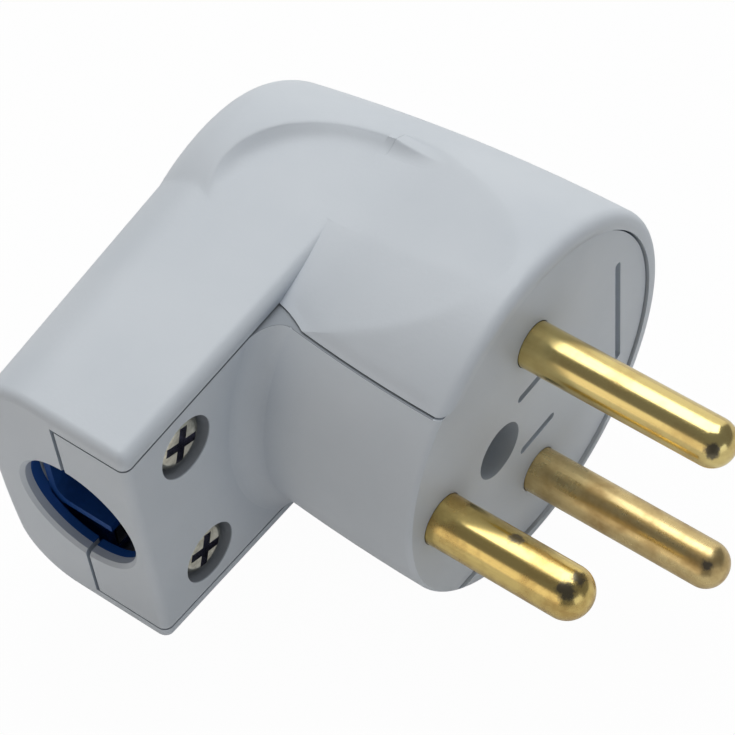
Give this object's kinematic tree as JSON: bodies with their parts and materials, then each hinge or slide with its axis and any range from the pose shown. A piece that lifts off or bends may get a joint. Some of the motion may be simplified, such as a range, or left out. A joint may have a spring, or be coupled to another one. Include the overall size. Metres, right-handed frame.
{
  "type": "angled mains plug",
  "caption": "Rewirable angled mains plug: round white housing with brass pins on its face, a flat handle set off to the side with the cord entry in its end, and recessed case screws.",
  "frame": {"origin": "centre of the hole in the middle of the pin face, on the face", "axes": "+X along the handle towards the cord entry, +Y out along the pins, +Z across the two live pins"},
  "size_m": [0.0509, 0.0592, 0.038],
  "materials": {
    "housing_white": "satin moulded",
    "brass": "turned, lightly tarnished",
    "nickel": "nickel plated",
    "plated_steel": "zinc plated",
    "dark_plastic": "moulded"
  },
  "bodies": {
    "root": {"rear_cover": "housing_white", "front_body": "housing_white", "line_pin": "brass", "neutral_pin": "brass", "earth_pin": "brass", "line_screw": "plated_steel", "neutral_screw": "plated_steel", "earth_screw": "plated_steel", "centre_screw": "nickel", "upper_case_screw": "nickel", "lower_case_screw": "nickel", "upper_nut": "plated_steel", "lower_nut": "plated_steel", "cord_clamp": "dark_plastic", "cord_channel": "dark_plastic"}
  },
  "joints": []
}
